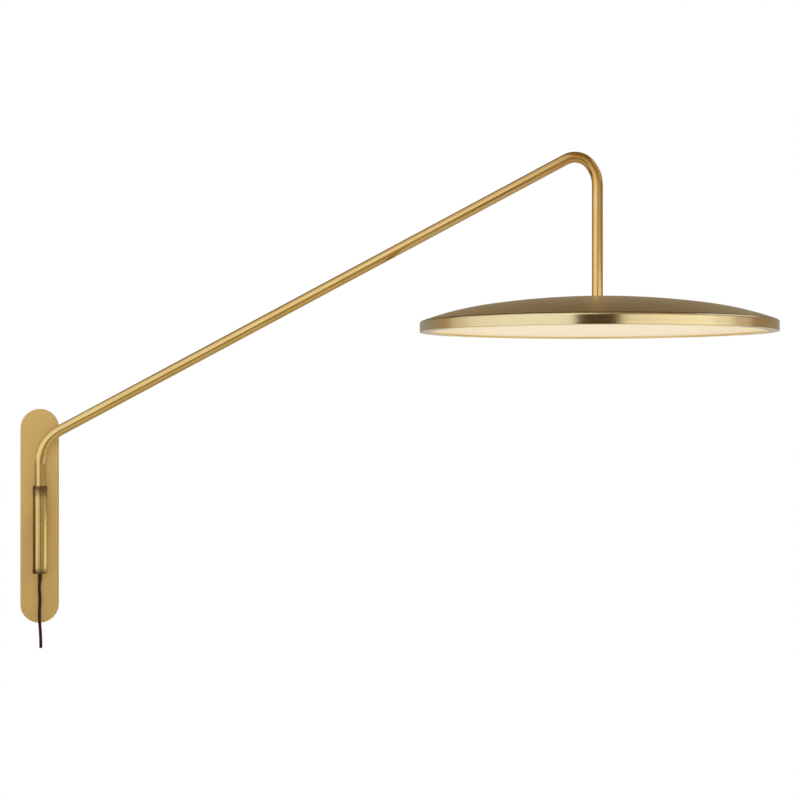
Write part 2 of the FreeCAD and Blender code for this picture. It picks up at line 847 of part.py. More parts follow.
cord_section = Part.Wire(Part.Edge(Part.Circle(route[0], along, cord_radius)))
cord = doc.addObject("Part::Feature", "supply_cord")
cord.Shape = cord_path.makePipeShell([cord_section], True, True)
cord_volume = math.pi * cord_radius ** 2 * cord_path.Length
print("supply_cord length", round(cord_path.Length, 2))
print("supply_cord volume", round(cord.Shape.Volume, 1), "section by length", round(cord_volume, 1))
keep("supply_cord", cord)

# Arm tube: one bent brass tube, upright in the barrel, sloping up and out, then straight down to the shade.
# The upper bend is tight at first and eases into the drop. The lower end has the notch for the stop pin
# and the groove for the snap ring.
arm_bore = "arm_diameter - 2 * arm_wall"
arm_corners = [
    ("0", "arm_end"),
    ("0", "arm_rise"),
    ("bend_corner_x", "bend_corner_z"),
    ("reach", "easing_corner_z"),
]
arm_bends = ["lower_bend_radius", "upper_bend_radius", "easing_radius"]
arm = bent_tube(
    "arm_tube",
    arm_corners + [("reach", "arm_peak - drop_length + seat_gap")],
    arm_bends,
    "arm_diameter",
    arm_bore,
)
notch = round_feature(
    arm,
    "Groove",
    "arm_notch",
    block(
        "-(arm_diameter / 2 + cut_margin)",
        "-(arm_diameter / 2 - arm_wall - cut_margin)",
        "arm_end - cut_margin",
        "arm_end + notch_height",
    ),
)
notch.Midplane = True
bind(notch, "Angle", "2 * (notch_half_angle)")
snap_outline = sketch_on(arm, "arm_snap_outline", "XZ_Plane")
circle_in(snap_outline, "arm_diameter / 2", "snap_level", "snap_wire + 2 * seat_gap")
doc.recompute()
snap_groove = arm.newObject("PartDesign::Groove", "arm_snap_groove")
snap_groove.Profile = snap_outline
snap_groove.ReferenceAxis = (snap_outline, ["V_Axis"])
snap_groove.Angle = 360
arm.Tip = snap_groove
place(arm, "arm")
keep("arm_tube", arm)

# Snap ring: an open wire ring in the arm's groove, under the lower bush. It keeps the arm from lifting out.
snap = doc.addObject("Part::Torus", "snap_ring")
bind(snap, "Radius1", "arm_diameter / 2")
bind(snap, "Radius2", "snap_wire / 2")
bind(snap, "Angle3", "360 - snap_opening")
place(snap, "arm", z="snap_level")
keep("snap_ring", snap)

# Lead grommet: keeps the cable off the tube's cut end.
grommet = ring(
    "lead_grommet",
    "cord_diameter + 2 * grommet_gap",
    f"{arm_bore} - 2 * fit_gap",
    "arm_end + notch_height",
    "arm_end + notch_height + grommet_length",
)
place(grommet, "arm")
keep("lead_grommet", grommet)

# Arm lead: the cable through the arm and the spigot, into the driver.
lead = bent_tube(
    "arm_lead",
    arm_corners
    + [
        ("reach", "shade_level + lead_level"),
        ("reach + driver_start + driver_wall + terminal_inset", "shade_level + lead_level"),
    ],
    arm_bends + ["lead_bend_radius"],
    "cord_diameter",
)
place(lead, "arm")
keep("arm_lead", lead)

# Shade spigot: a hollow threaded stub brazed into the tube's end, through the top of the shade.
spigot = turned(
    "shade_spigot",
    [
        ("spigot_bore / 2", "nut_bottom - spigot_tip"),
        ("spigot_thread / 2", "nut_bottom - spigot_tip"),
        ("spigot_thread / 2", "shade_height + seat_gap"),
        (f"({arm_bore}) / 2 - fit_gap", "shade_height + seat_gap"),
        (f"({arm_bore}) / 2 - fit_gap", "shade_height + spigot_rise"),
        ("spigot_bore / 2", "shade_height + spigot_rise"),
    ],
)
place(spigot, "head")
keep("shade_spigot", spigot)

# Shade shell: spun brass, a shallow dome that steepens outwards and turns down into an upright rim.
hole = "(spigot_thread / 2 + bolt_gap)"
shell = turned(
    "shade_shell",
    [
        (hole, f"crown_z + sqrt(crown_radius ^ 2 - {hole} ^ 2)", "-crown_radius"),
        ("crown_reach", "crown_edge_z", "-knuckle_radius"),
        (
            "shoulder_x + shoulder_radius * shoulder_lean_x",
            "rim_height + shoulder_radius * shoulder_lean_z",
            "-shoulder_radius",
        ),
        ("shade_radius", "rim_height"),
        ("shade_radius", "lip_round", "-lip_round"),
        ("shade_radius - lip_round", "0"),
        ("rim_bore", "0"),
        ("rim_bore", "rim_height", "shoulder_inner_radius"),
        (
            "shoulder_x + shoulder_inner_radius * shoulder_lean_x",
            "rim_height + shoulder_inner_radius * shoulder_lean_z",
            "knuckle_radius - shade_wall",
        ),
        (
            "crown_reach - shade_wall * crown_sine",
            "crown_edge_z - shade_wall * crown_cosine",
            "crown_radius - shade_wall",
        ),
        (hole, f"crown_z + sqrt((crown_radius - shade_wall) ^ 2 - {hole} ^ 2)"),
    ],
)
place(shell, "head")
keep("shade_shell", shell)

# Shade hub: a disc under the dome, its top shaped to the dome, that spreads the nut's pull.
hub_rim = "hub_diameter / 2"
hub = turned(
    "shade_hub",
    [
        (hole, "hub_bottom"),
        (hub_rim, "hub_bottom"),
        (hub_rim, f"crown_z + sqrt(hub_top_radius ^ 2 - ({hub_rim}) ^ 2)", "hub_top_radius"),
        (hole, f"crown_z + sqrt(hub_top_radius ^ 2 - {hole} ^ 2)"),
    ],
)
stud_hole = round_feature(
    hub,
    "Groove",
    "hub_stud_hole",
    block(
        "pillar_circle",
        "pillar_circle + pillar_stud / 2 + fit_gap",
        "hub_bottom - cut_margin",
        "hub_bottom + pillar_stud_length + seat_gap",
    ),
    axis="pillar_circle",
    turn="pillar_turn",
)
around(hub, stud_hole, "pillar_count")
place(hub, "head")
keep("shade_hub", hub)

# Spigot washer and nut: clamp the hub and the dome to the arm.
spigot_washer = ring(
    "spigot_washer",
    f"2 * {hole}",
    "spigot_washer_diameter",
    "washer_bottom",
    "washer_bottom + spigot_washer_thickness",
)
place(spigot_washer, "head")
keep("spigot_washer", spigot_washer)
nut_block = doc.addObject("Part::Prism", "nut_block")
nut_block.Polygon = 6
bind(nut_block, "Circumradius", "nut_flats / sqrt(3)")
bind(nut_block, "Height", "nut_height")
nut_bore = rod("nut_bore", "spigot_thread + 2 * fit_gap", "nut_height + 2 * cut_margin", z="-cut_margin")
nut = less("spigot_nut", nut_block, [nut_bore])
place(nut, "head", z="nut_bottom")
keep("spigot_nut", nut)

# Tray pillars: four round spacers, studs up into the hub, tapped for the tray's screws below.
pillars = new_body("tray_pillars")
tap_top = "tray_bottom + tray_screw_length + thread_run_out"
pillar = round_feature(
    pillars,
    "Revolution",
    "pillar",
    [
        ("pillar_circle + tray_screw_diameter / 2 + fit_gap", "tray_top"),
        ("pillar_circle + pillar_diameter / 2", "tray_top"),
        ("pillar_circle + pillar_diameter / 2", "hub_bottom"),
        ("pillar_circle + pillar_stud / 2", "hub_bottom"),
        ("pillar_circle + pillar_stud / 2", "hub_bottom + pillar_stud_length"),
        ("pillar_circle", "hub_bottom + pillar_stud_length"),
        ("pillar_circle", tap_top),
        ("pillar_circle + tray_screw_diameter / 2 + fit_gap", tap_top),
    ],
    axis="pillar_circle",
    turn="pillar_turn",
)
around(pillars, pillar, "pillar_count")
place(pillars, "head")
keep("tray_pillars", pillars)

# Tray screws: countersunk, flush under the tray.
tray_screw_cone = "(tray_screw_head - tray_screw_diameter) / 2"
tray_screws = new_body("tray_screws")
tray_screw = round_feature(
    tray_screws,
    "Revolution",
    "tray_screw",
    [
        ("pillar_circle", "tray_bottom"),
        ("pillar_circle + tray_screw_head / 2", "tray_bottom"),
        ("pillar_circle + tray_screw_diameter / 2", f"tray_bottom + {tray_screw_cone}"),
        ("pillar_circle + tray_screw_diameter / 2", "tray_bottom + tray_screw_length"),
        ("pillar_circle", "tray_bottom + tray_screw_length"),
    ],
    axis="pillar_circle",
    turn="pillar_turn",
)
around(tray_screws, tray_screw, "pillar_count")
place(tray_screws, "head")
keep("tray_screws", tray_screws)

# LED tray: an aluminium disc with a deep edge ring that the light strip and the bezel fix to.
ring_foot = "bezel_thickness + seat_gap"
tray = turned(
    "led_tray",
    [
        ("0", "tray_bottom"),
        ("ring_bore", "tray_bottom"),
        ("ring_bore", ring_foot),
        ("tray_radius", ring_foot),
        ("tray_radius", "tray_top"),
        ("0", "tray_top"),
    ],
)
screw_seat = round_feature(
    tray,
    "Groove",
    "tray_screw_seat",
    [
        ("pillar_circle", "tray_bottom - cut_margin"),
        ("pillar_circle + tray_screw_head / 2 + seat_gap", "tray_bottom - cut_margin"),
        ("pillar_circle + tray_screw_head / 2 + seat_gap", "tray_bottom"),
        ("pillar_circle + tray_screw_diameter / 2 + seat_gap", f"tray_bottom + {tray_screw_cone}"),
        ("pillar_circle + tray_screw_diameter / 2 + seat_gap", "tray_top + cut_margin"),
        ("pillar_circle", "tray_top + cut_margin"),
    ],
    axis="pillar_circle",
    turn="pillar_turn",
)
around(tray, screw_seat, "pillar_count")
bezel_tap = round_feature(
    tray,
    "Groove",
    "tray_bezel_tap",
    block(
        "bezel_screw_circle",
        "bezel_screw_circle + bezel_screw_diameter / 2 + fit_gap",
        f"{ring_foot} - cut_margin",
        "bezel_screw_length + thread_run_out",
    ),
    axis="bezel_screw_circle",
)
around(tray, bezel_tap, "bezel_screw_count")
ear_spots = []
lead_spots = []
for side in ("", "-"):
    ear_spots.append(("driver_start + driver_length / 2", f"{side}ear_screw_offset"))
    lead_spots.append(("led_lead_circle", f"{side}led_lead_spacing / 2"))
drilled(
    tray,
    "tray_driver_taps",
    ear_spots,
    "driver_screw_diameter + 2 * fit_gap",
    "tray_thickness",
    "XY_Plane",
    lift="tray_top",
)
drilled(
    tray,
    "tray_lead_holes",
    lead_spots,
    "led_lead_diameter + 2 * lead_hole_gap",
    "tray_thickness",
    "XY_Plane",
    lift="tray_top",
)
place(tray, "head")
keep("led_tray", tray)

# Reflector sheet, light guide and diffuser: the flat stack under the tray.
reflector = rod("reflector_sheet", "2 * (guide_radius - reflector_gap)", "reflector_thickness")
place(reflector, "head", z="reflector_bottom")
keep("reflector_sheet", reflector)
guide = rod("light_guide", "2 * guide_radius", "guide_thickness")
place(guide, "head", z="guide_bottom")
keep("light_guide", guide)
diffuser = rod("diffuser", "2 * (ring_bore - diffuser_gap)", "diffuser_thickness")
place(diffuser, "head", z="diffuser_bottom")
keep("diffuser", diffuser)

# LED strip: a thin flexible board round the inside of the tray's ring.
strip = ring(
    "led_strip",
    "2 * strip_bore",
    "2 * (ring_bore - seat_gap)",
    "guide_bottom",
    "guide_bottom + guide_thickness",
)
place(strip, "head")
keep("led_strip", strip)

# LED chips: evenly spaced on the strip, facing the edge of the light guide.
chips = new_body("led_chips")
chip = flat_feature(
    chips,
    "Pad",
    "led_chip",
    block(
        "strip_bore - seat_gap - chip_depth",
        "strip_bore - seat_gap",
        "-chip_width / 2",
        "chip_width / 2",
    ),
    "chip_height",
    "XY_Plane",
    lift="guide_bottom + (guide_thickness - chip_height) / 2",
)
around(chips, chip, "chip_count")
place(chips, "head", spin="180 / chip_count")
keep("led_chips", chips)

# Bezel ring: flat brass ring that closes the rim and holds the diffuser up.
bezel_outside = "rim_bore - bezel_gap"
bezel_inside = "rim_bore - bezel_gap - bezel_width"
bezel_cone = "(bezel_screw_head - bezel_screw_diameter) / 2"
bezel = turned(
    "bezel_ring",
    [
        (f"{bezel_inside} + bezel_edge", "0"),
        (bezel_outside, "0"),
        (bezel_outside, "bezel_thickness"),
        (bezel_inside, "bezel_thickness"),
        (bezel_inside, "bezel_edge", "bezel_edge"),
    ],
)
bezel_seat = round_feature(
    bezel,
    "Groove",
    "bezel_screw_seat",
    [
        ("bezel_screw_circle", "-cut_margin"),
        ("bezel_screw_circle + bezel_screw_head / 2 + seat_gap", "-cut_margin"),
        ("bezel_screw_circle + bezel_screw_head / 2 + seat_gap", "0"),
        ("bezel_screw_circle + bezel_screw_diameter / 2 + seat_gap", bezel_cone),
        ("bezel_screw_circle + bezel_screw_diameter / 2 + seat_gap", "bezel_thickness + cut_margin"),
        ("bezel_screw_circle", "bezel_thickness + cut_margin"),
    ],
    axis="bezel_screw_circle",
)
around(bezel, bezel_seat, "bezel_screw_count")
place(bezel, "head")
keep("bezel_ring", bezel)

# Bezel screws: small countersunk screws up into the tray's ring.
bezel_screws = new_body("bezel_screws")
bezel_screw = round_feature(
    bezel_screws,
    "Revolution",
    "bezel_screw",
    [
        ("bezel_screw_circle", "0"),
        ("bezel_screw_circle + bezel_screw_head / 2", "0"),
        ("bezel_screw_circle + bezel_screw_diameter / 2", bezel_cone),
        ("bezel_screw_circle + bezel_screw_diameter / 2", "bezel_screw_length"),
        ("bezel_screw_circle", "bezel_screw_length"),
    ],
    axis="bezel_screw_circle",
)
around(bezel_screws, bezel_screw, "bezel_screw_count")
place(bezel_screws, "head")
keep("bezel_screws", bezel_screws)

# Driver case: a plastic tub with two ears, ledges for the board and holes for the leads.
inner_width = "driver_width - 2 * driver_wall"
outside = box("case_outside", "driver_start", "tray_top", "driver_length", "driver_width", "driver_height")
ears = box(
    "case_ears",
    "driver_start + driver_length / 2 - driver_ear_width / 2",
    "tray_top",
    "driver_ear_width",
    "driver_width + 2 * driver_ear",
    "driver_ear_thickness",
)
cavity = box(
    "case_cavity",
    "driver_start + driver_wall",
    "tray_top + driver_wall",
    "driver_length - 2 * driver_wall",
    inner_width,
    "driver_height",
)
openings = [
    cavity,
    rod(
        "case_lead_hole",
        "cord_diameter + 2 * lead_hole_gap",
        "driver_wall + 2 * cut_margin",
        x="driver_start - cut_margin",
        z="lead_level",
        lying=True,
    ),
]
for side in ("", "-"):
    ear_hole = rod(
        "case_ear_hole",
        "driver_screw_diameter + 2 * bolt_gap",
        "driver_ear_thickness + 2 * cut_margin",
        x="driver_start + driver_length / 2",
        y=f"{side}ear_screw_offset",
        z="tray_top - cut_margin",
    )
    outlet = rod(
        "case_outlet",
        "led_lead_diameter + 2 * lead_hole_gap",
        "driver_wall + 2 * cut_margin",
        x="driver_end - driver_wall - cut_margin",
        y=f"{side}led_lead_spacing / 2",
        z="lead_level",
        lying=True,
    )
    openings += [ear_hole, outlet]
tub = less("case_tub", joined("case_block", [outside, ears]), openings)
ledges = []
for side in ("", "-"):
    ledges.append(
        box(
            "case_ledge",
            "driver_start + driver_wall",
            "tray_top + driver_wall",
            "driver_length - 2 * driver_wall",
            "board_ledge_width",
            "board_ledge",
            y=f"{side}(driver_width / 2 - driver_wall - board_ledge_width / 2)",
        )
    )
case = joined("driver_case", [tub] + ledges)
place(case, "head")
keep("driver_case", case)

# Driver board, on the ledges, and the parts soldered to it.
board_side = f"({inner_width}) / 2 - board_gap"
board_start = "driver_start + driver_wall + board_gap"
board_end = "driver_end - driver_wall - board_gap"
board = new_body("driver_board")
flat_feature(
    board,
    "Pad",
    "board_slab",
    block(board_start, board_end, f"-({board_side})", board_side),
    "board_thickness",
    "XY_Plane",
    lift="board_bottom",
)
place(board, "head")
keep("driver_board", board)
terminal_end = "driver_start + driver_wall + terminal_inset + terminal_length"
transformer_end = f"{terminal_end} + part_spacing + transformer_length"
parts_on_board = [
    box(
        "input_terminal",
        "driver_start + driver_wall + terminal_inset",
        "board_top",
        "terminal_length",
        "terminal_width",
        "terminal_height",
    ),
    box(
        "transformer",
        f"{terminal_end} + part_spacing",
        "board_top",
        "transformer_length",
        "transformer_width",
        "transformer_height",
    ),
    rod(
        "capacitor",
        "capacitor_diameter",
        "capacitor_height",
        x=f"{transformer_end} + part_spacing + capacitor_diameter / 2",
        z="board_top",
    ),
    box(
        "output_terminal",
        "driver_end - driver_wall - terminal_inset - terminal_length",
        "board_top",
        "terminal_length",
        "terminal_width",
        "terminal_height",
    ),
]
components = together("driver_components", parts_on_board)
place(components, "head")
keep("driver_components", components)

# Driver cover: a lid with a locating rim inside the tub.
lid = box(
    "cover_lid",
    "driver_start",
    "tray_top + driver_height",
    "driver_length",
    "driver_width",
    "cover_thickness",
)
lid_rim = box(
    "cover_rim_block",
    "driver_start + driver_wall + cover_gap",
    "tray_top + driver_height - cover_rim",
    "driver_length - 2 * (driver_wall + cover_gap)",
    f"{inner_width} - 2 * cover_gap",
    "cover_rim",
)
cover = joined("driver_cover", [lid, lid_rim])
place(cover, "head")
keep("driver_cover", cover)

# Driver screws: one through each ear into the tray.
driver_screws = []
ear_top = "tray_top + driver_ear_thickness"
for spot in ear_spots:
    driver_screw = turned(
        "driver_screw",
        [
            ("0", "tray_bottom + driver_screw_short"),
            ("driver_screw_diameter / 2", "tray_bottom + driver_screw_short"),
            ("driver_screw_diameter / 2", ear_top),
            ("driver_screw_head / 2", ear_top),
            ("driver_screw_head / 2", f"{ear_top} + driver_screw_head_height"),
            ("0", f"{ear_top} + driver_screw_head_height"),
        ],
    )
    place(driver_screw, "head", x=spot[0], y=spot[1])
    driver_screws.append(driver_screw)
keep("driver_screws", together("driver_screws", driver_screws))

# LED leads: two thin wires from the driver, along the tray and down to the strip.
wires = []
for side in ("", "-"):
    wire = bent_tube(
        "led_lead",
        [
            ("driver_end - driver_wall - terminal_inset", "lead_level"),
            ("driver_end + led_lead_start", "lead_level"),
            ("led_lead_circle - led_lead_run", "tray_top + led_lead_rise"),
            ("led_lead_circle", "tray_top + led_lead_rise"),
            ("led_lead_circle", "guide_bottom + guide_thickness / 2"),
        ],
        ["led_lead_curve", "led_lead_curve", "led_lead_bend"],
        "led_lead_diameter",
        upright=False,
    )
    place(wire, "head", y=f"{side}led_lead_spacing / 2")
    wires.append(wire)
keep("led_leads", together("led_leads", wires))

# Every object has to be sound before any piece is written.
doc.recompute()
for item in doc.Objects:
    if "Invalid" in item.State or "Error" in item.State:
        raise RuntimeError(f"{item.Label} is {item.State}")
for label, item in pieces.items():
    if item.Shape.isNull() or not item.Shape.isValid() or not item.Shape.Solids:
        raise RuntimeError(f"{label} has no sound solid")
os.makedirs("parts", exist_ok=True)
for label, item in pieces.items():
    item.Shape.exportStep(f"parts/{label}.step")
    print(label, len(item.Shape.Solids), "solids", round(item.Shape.Volume, 1), "mm3")
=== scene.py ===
import math

import bpy
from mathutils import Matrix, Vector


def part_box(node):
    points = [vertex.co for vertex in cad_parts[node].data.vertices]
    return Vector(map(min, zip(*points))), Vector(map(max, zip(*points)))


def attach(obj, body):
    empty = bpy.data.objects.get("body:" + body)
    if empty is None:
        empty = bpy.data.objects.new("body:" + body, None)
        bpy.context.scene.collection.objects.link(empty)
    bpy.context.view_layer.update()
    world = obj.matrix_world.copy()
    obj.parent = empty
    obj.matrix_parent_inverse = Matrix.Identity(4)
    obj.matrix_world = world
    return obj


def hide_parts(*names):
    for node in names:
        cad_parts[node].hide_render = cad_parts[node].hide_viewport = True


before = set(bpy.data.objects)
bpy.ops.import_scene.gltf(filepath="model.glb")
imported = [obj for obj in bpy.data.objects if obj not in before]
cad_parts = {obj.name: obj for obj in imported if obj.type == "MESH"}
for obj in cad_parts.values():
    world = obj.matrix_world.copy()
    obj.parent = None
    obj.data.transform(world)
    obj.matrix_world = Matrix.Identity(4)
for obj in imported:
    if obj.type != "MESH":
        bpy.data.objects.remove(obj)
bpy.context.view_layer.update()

# Camera: level with the middle of the lamp, 2.2 m out from the wall and turned a little to the
# right, so that the shade is seen from just below its rim.
LENS_MM = 73.35
SENSOR_MM = 36.0
CAMERA_PLACE = (-0.01957, -2.22019, 0.15329)
TURN_TO_RIGHT = math.radians(12.97)
lens = bpy.data.cameras.new("photo_camera")
lens.lens = LENS_MM
lens.sensor_width = SENSOR_MM
camera = bpy.data.objects.new("photo_camera", lens)
camera.location = CAMERA_PLACE
camera.rotation_euler = (math.radians(90), 0, -TURN_TO_RIGHT)
bpy.context.scene.collection.objects.link(camera)
bpy.context.scene.camera = camera
bpy.context.scene.view_settings.view_transform = "Standard"

# Wall bracket: a strip of zinc-plated steel with two wall-screw holes and a lug bent out at each
# end. It is screwed to the wall, and the plate hides it.
MM = 0.001
MICRON = 0.000001
ZINC = (0.56, 0.57, 0.58, 1)
ZINC_DULL = (0.50, 0.515, 0.535, 1)
SPANGLE_WIDTH = 4 * MM
SPANGLE_DEPTH = 4 * MICRON


class Wire:
    """One output of a finish's nodes. Arithmetic on it adds Math nodes to the same finish."""

    def __init__(self, tree, socket=None):
        self.tree = tree
        self.socket = socket

    def node(self, kind, settings, sockets, out=0):
        """Add a node: its settings first, then its sockets' values or links. Gives one output."""
        made = self.tree.nodes.new("ShaderNode" + kind)
        for setting, value in settings.items():
            setattr(made, setting, value)
        for name, value in sockets.items():
            if isinstance(value, Wire):
                self.tree.links.new(value.socket, made.inputs[name])
            else:
                made.inputs[name].default_value = value
        return Wire(self.tree, made.outputs[out] if made.outputs else None)

    def __add__(self, other):
        return self.node("Math", {"operation": "ADD"}, {0: self, 1: other})

    __radd__ = __add__

    def __sub__(self, other):
        return self.node("Math", {"operation": "SUBTRACT"}, {0: self, 1: other})

    def __rsub__(self, other):
        return self.node("Math", {"operation": "SUBTRACT"}, {0: other, 1: self})

    def __mul__(self, other):
        return self.node("Math", {"operation": "MULTIPLY"}, {0: self, 1: other})

    __rmul__ = __mul__


def new_finish(name):
    """Start a material. Gives it with the wire of a point's place on the piece, in metres."""
    material = bpy.data.materials.new(name)
    material.use_nodes = True
    material.node_tree.nodes.clear()
    return material, Wire(material.node_tree).node("TexCoord", {}, {}, "Object")


def blotches(place, width, detail=2.0):
    """Soft random patches about as wide as given, from 0 to 1."""
    pattern = {"Vector": place, "Scale": 1 / width, "Detail": detail}
    return place.node("TexNoise", {}, pattern, "Fac")


def rising(value, low, high):
    """A smooth rise from 0 at low to 1 at high."""
    limits = {"Value": value, "From Min": low, "From Max": high}
    return value.node("MapRange", {"interpolation_type": "SMOOTHSTEP"}, limits)


def colour_between(mask, first, second):
    """The first colour where the mask is 0, the second where it is 1."""
    return mask.node("Mix", {"data_type": "RGBA"}, {0: mask, 6: first, 7: second}, 2)


def raised(height, depth):
    """A bump normal from a height of 0 to 1 that stands for a real depth."""
    return height.node("Bump", {}, {"Height": height, "Distance": depth})


def dress(material, surface, *names):
    """Give a finish its surface, and put it on the CAD pieces that have it."""
    surface.node("OutputMaterial", {}, {"Surface": surface})
    for name in names:
        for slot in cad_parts[name].material_slots:
            slot.material = material


finish, place = new_finish("zinc_plated_strip")
spangle = rising(blotches(place, SPANGLE_WIDTH), 0.35, 0.65)
zinc = place.node("BsdfPrincipled", {}, {
    "Base Color": colour_between(spangle, ZINC_DULL, ZINC),
    "Metallic": 1.0,
    "Roughness": 0.44 - 0.08 * spangle,
    "Normal": raised(spangle, SPANGLE_DEPTH),
})
dress(finish, zinc, "wall_bracket")

# Backplate: a long round-ended pan of brass sheet, brushed along its length and lacquered. It slips
# over the bracket and two grub screws hold it.
PLATE_BRASS = (0.73, 0.53, 0.225, 1)
PLATE_BRASS_DULL = (0.69, 0.49, 0.200, 1)
PLATE_SMUDGE = (0.30, 0.19, 0.07, 1)
BRASS_EDGE = (0.80, 0.60, 0.38, 1)
BRUSHED_UPRIGHT = (900.0, 900.0, 14.0)
BRUSH_DEPTH = 8 * MICRON
DULL_WIDTH = 50 * MM
SMUDGE_WIDTH = 60 * MM


def stretched(place, factors):
    """A place scaled by a factor along each axis."""
    return place.node("VectorMath", {"operation": "MULTIPLY"}, {0: place, 1: factors})


def satin_brass(place, tones, brush, depth, stain_and_shade, roughness, lacquer, edge=BRASS_EDGE):
    """Lacquered satin brass with fine brush lines. Tones: clean, dull, stain and painted shade."""
    lines = blotches(stretched(place, brush), 1.0, 3.0)
    dull = rising(blotches(place, DULL_WIDTH), 0.35, 0.75)
    clean = colour_between(dull, tones[0], tones[1])
    return place.node("BsdfPrincipled", {}, {
        "Base Color": colour_between(stain_and_shade, clean, tones[2]),
        "Specular Tint": edge,
        "Metallic": 1.0,
        "Roughness": roughness + 0.10 * (lines - 0.5) + 0.05 * dull + 0.06 * stain_and_shade,
        "Normal": raised(lines, depth),
        "Coat Weight": lacquer,
        "Coat Roughness": 0.22,
    })


finish, place = new_finish("plate_brass")
wiped = blotches(stretched(place, (1.0, 1.0, 0.6)), SMUDGE_WIDTH)
smudges = 0.20 * rising(wiped, 0.5, 0.8)
plate_tones = [PLATE_BRASS, PLATE_BRASS_DULL, PLATE_SMUDGE]
plate_brass = satin_brass(place, plate_tones, BRUSHED_UPRIGHT, BRUSH_DEPTH, smudges, 0.34, 0.6)
dress(finish, plate_brass, "backplate")

# Screws, washers, stop pin, snap ring and nut: turned and pressed steel, zinc plated.
# They hold the plate, the posts, the arm and the light panel together.
STEEL = (0.60, 0.60, 0.61, 1)
STEEL_GREY = (0.40, 0.40, 0.42, 1)
STEEL_LINES = (2500.0, 2500.0, 9000.0)
finish, place = new_finish("plated_fasteners")
turning = blotches(stretched(place, STEEL_LINES), 1.0)
handled = rising(blotches(place, 4 * MM), 0.4, 0.7)
steel = place.node("BsdfPrincipled", {}, {
    "Base Color": colour_between(handled, STEEL, STEEL_GREY),
    "Metallic": 1.0,
    "Roughness": 0.26 + 0.16 * turning,
    "Normal": raised(turning, 10 * MICRON),
})
dress(
    finish, steel, "plate_grub_screws", "post_screws", "post_lock_washers", "stop_pin", "snap_ring",
    "spigot_washer", "spigot_nut", "tray_screws", "driver_screws",
)

# Swivel barrel and its two posts: turned brass, brazed together and screwed to the plate from
# behind. The barrel is a darker, purplish brown towards its two ends.
BRASS = (0.565, 0.418, 0.178, 1)
BRASS_DULL = (0.525, 0.376, 0.146, 1)
BRASS_BROWN = (0.12, 0.062, 0.030, 1)
TOP_DARK_REACH = 20 * MM
FOOT_DARK_REACH = 11 * MM
END_DARKENING = 0.95
BRUSHED_FINE = (700.0, 700.0, 60.0)
FINE_DEPTH = 2 * MICRON
finish, place = new_finish("barrel_brass")
barrel_low, barrel_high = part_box("swivel_barrel")
height = place.node("SeparateXYZ", {}, {"Vector": place}, "Z")
uneven = 0.6 + 0.8 * blotches(place, 8 * MM)
top_end = rising(height - barrel_high[2] + TOP_DARK_REACH * uneven, 0.0, TOP_DARK_REACH)
foot_end = rising(barrel_low[2] + FOOT_DARK_REACH * uneven - height, 0.0, FOOT_DARK_REACH)
stain_and_shade = END_DARKENING * (top_end + foot_end)
barrel_tones = [BRASS, BRASS_DULL, BRASS_BROWN]
barrel_brass = satin_brass(place, barrel_tones, BRUSHED_FINE, FINE_DEPTH, stain_and_shade, 0.19, 0.1)
dress(finish, barrel_brass, "swivel_barrel", "upper_post", "lower_post")

# Swivel bushes: two rings of sintered bronze with oil in their pores, pressed into the barrel.
# The arm's foot turns in them.
BRONZE = (0.42, 0.25, 0.11, 1)
BRONZE_PORES = (0.20, 0.11, 0.05, 1)
finish, place = new_finish("sintered_bronze")
pores = rising(blotches(place, 0.6 * MM), 0.5, 0.7)
bronze = place.node("BsdfPrincipled", {}, {
    "Base Color": colour_between(pores, BRONZE, BRONZE_PORES),
    "Metallic": 1.0,
    "Roughness": 0.34 + 0.25 * pores,
    "Normal": raised(1 - pores, 30 * MICRON),
})
dress(finish, bronze, "upper_bush", "lower_bush")

# End plug and shade spigot: plain turned brass, not lacquered. One closes the barrel's foot, the
# other is brazed into the arm's end and carries the shade.
PLAIN_BRASS = (0.60, 0.43, 0.19, 1)
PLAIN_BRASS_DULL = (0.48, 0.32, 0.13, 1)
LATHE_LINES = (300.0, 300.0, 6000.0)
finish, place = new_finish("turned_brass")
turning = blotches(stretched(place, LATHE_LINES), 1.0)
dull = rising(blotches(place, 6 * MM), 0.35, 0.7)
turned_brass = place.node("BsdfPrincipled", {}, {
    "Base Color": colour_between(dull, PLAIN_BRASS, PLAIN_BRASS_DULL),
    "Metallic": 1.0,
    "Roughness": 0.24 + 0.14 * turning,
    "Normal": raised(turning, 20 * MICRON),
})
dress(finish, turned_brass, "end_plug", "shade_spigot")

# Thrust washer, lead grommet and reflector sheet: white plastic. The washer carries the arm on the
# end plug, the grommet guards the lead, and the sheet throws light down.
WHITE_PLASTIC = (0.84, 0.84, 0.82, 1)
WHITE_PLASTIC_WARM = (0.78, 0.77, 0.72, 1)
finish, place = new_finish("white_plastic")
cloudy = blotches(place, 12 * MM)
grain = blotches(place, 0.4 * MM)
white_plastic = place.node("BsdfPrincipled", {}, {
    "Base Color": colour_between(cloudy, WHITE_PLASTIC, WHITE_PLASTIC_WARM),
    "Roughness": 0.48 + 0.12 * grain,
    "Normal": raised(grain, 20 * MICRON),
})
dress(finish, white_plastic, "thrust_washer", "lead_grommet", "reflector_sheet")

# Supply cord: a thin two-core lead in a woven brown sleeve. It comes out of a tapered bush under
# the barrel, hangs with the slack waves of its packing, and its end is bare.
CORD_BROWN = (0.060, 0.018, 0.005, 1)
CORD_DARK = (0.020, 0.006, 0.002, 1)
CORD_DIAMETER = 0.004
CORD_DEPTH = -0.032
CORD_ROUTE = [
    (0.0, -0.084), (-0.0013, -0.092), (0.0004, -0.107), (-0.0011, -0.130), (0.0012, -0.156),
    (0.0012, -0.1717),
]
STRANDS_ROUND = 8
WEAVE_PITCH = 1.6 * MM
WEAVE_DEPTH = 100 * MICRON

